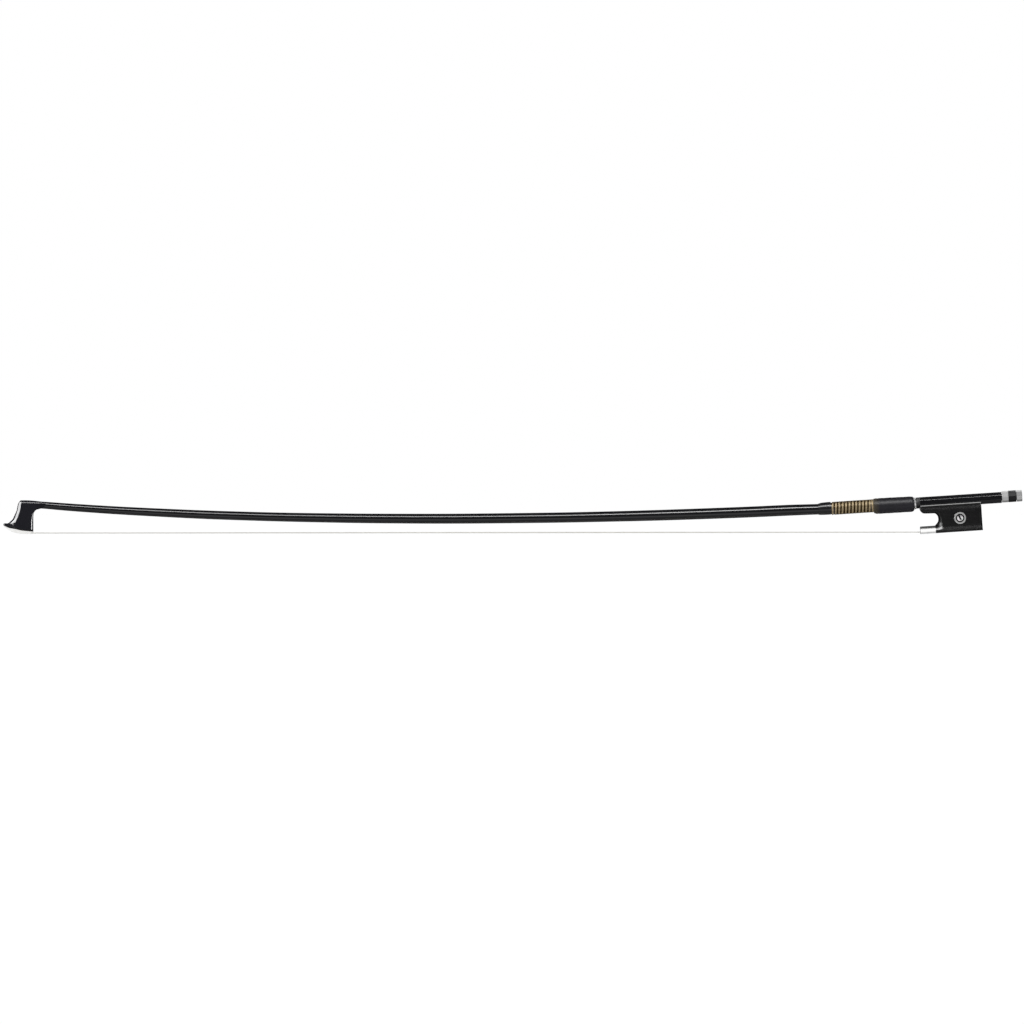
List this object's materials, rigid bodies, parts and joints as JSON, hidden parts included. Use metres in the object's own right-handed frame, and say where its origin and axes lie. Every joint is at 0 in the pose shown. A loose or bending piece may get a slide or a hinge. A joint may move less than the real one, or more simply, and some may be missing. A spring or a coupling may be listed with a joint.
{
  "type": "violin bow",
  "caption": "Full-size violin bow: cambered black stick, white tip plate, horsehair ribbon, wound and leather grip, ebony frog with metal ferrule, and a screw button that tightens the hair.",
  "frame": {"origin": "centre of the bow's length and width, on the plane that its tip plate and ferrule rest on", "axes": "+X from the head to the button, +Z from the hair to the stick, Y across the bow, with Y = 0 its symmetry plane"},
  "size_m": [0.745, 0.013, 0.0323],
  "materials": {
    "stick_lacquer": "clear black lacquer over the stick",
    "liner_black": "satin black",
    "tip_white": "polished off-white",
    "wedge_wood": "bare pale maple",
    "horsehair": "combed unbleached white horsehair",
    "bound_hair": "hair bound with thread and sealed",
    "sleeve_dark": "dark grey satin sleeve",
    "winding_gold": "metallic gold strip",
    "winding_black": "gloss black strip",
    "grip_leather": "black grained leather",
    "nickel": "polished nickel silver",
    "ebony": "oiled and polished ebony",
    "pearl": "polished mother-of-pearl",
    "brass": "machined brass",
    "screw_steel": "turned steel"
  },
  "bodies": {
    "bow_stick": {"stick": "stick_lacquer", "head_liner": "liner_black", "tip_plate": "tip_white", "tip_wedge": "wedge_wood", "hair_knot_tip": "bound_hair", "hair": "horsehair", "winding_underlay": "sleeve_dark", "winding_gold": "winding_gold", "winding_black": "winding_black", "thumb_leather": "grip_leather", "grip_ring": "nickel"},
    "frog": {"frog_body": "ebony", "underslide": "nickel", "underslide_pin_front": "nickel", "underslide_pin_rear": "nickel", "ferrule": "nickel", "ferrule_wedge": "wedge_wood", "pearl_slide": "pearl", "slide_backing": "ebony", "hair_knot_frog": "bound_hair", "frog_wedge": "wedge_wood", "eyelet": "brass", "eye_ring_left": "nickel", "eye_ring_right": "nickel", "eye_pearl_left": "pearl", "eye_pearl_right": "pearl"},
    "button_screw": {"adjusting_screw": "screw_steel", "button_core": "ebony", "button_ring_front": "nickel", "button_ring_rear": "nickel"}
  },
  "joints": [
    {"name": "button_turn", "type": "hinge", "parent": "bow_stick", "child": "button_screw", "pos_m": [0.35717, 0, 0.02713], "axis": [-0.9979, 0, -0.0645], "range_deg": [-1740, 1140]},
    {"name": "frog_slide", "type": "slide", "parent": "bow_stick", "child": "frog", "axis": [0.9979, 0, 0.0645], "range_m": [-0.0028, 0.0018], "deforming": ["hair"]}
  ],
  "couplings": [
    {"joint": "button_turn", "follows": "frog_slide", "rad_per_m": 10472}
  ]
}
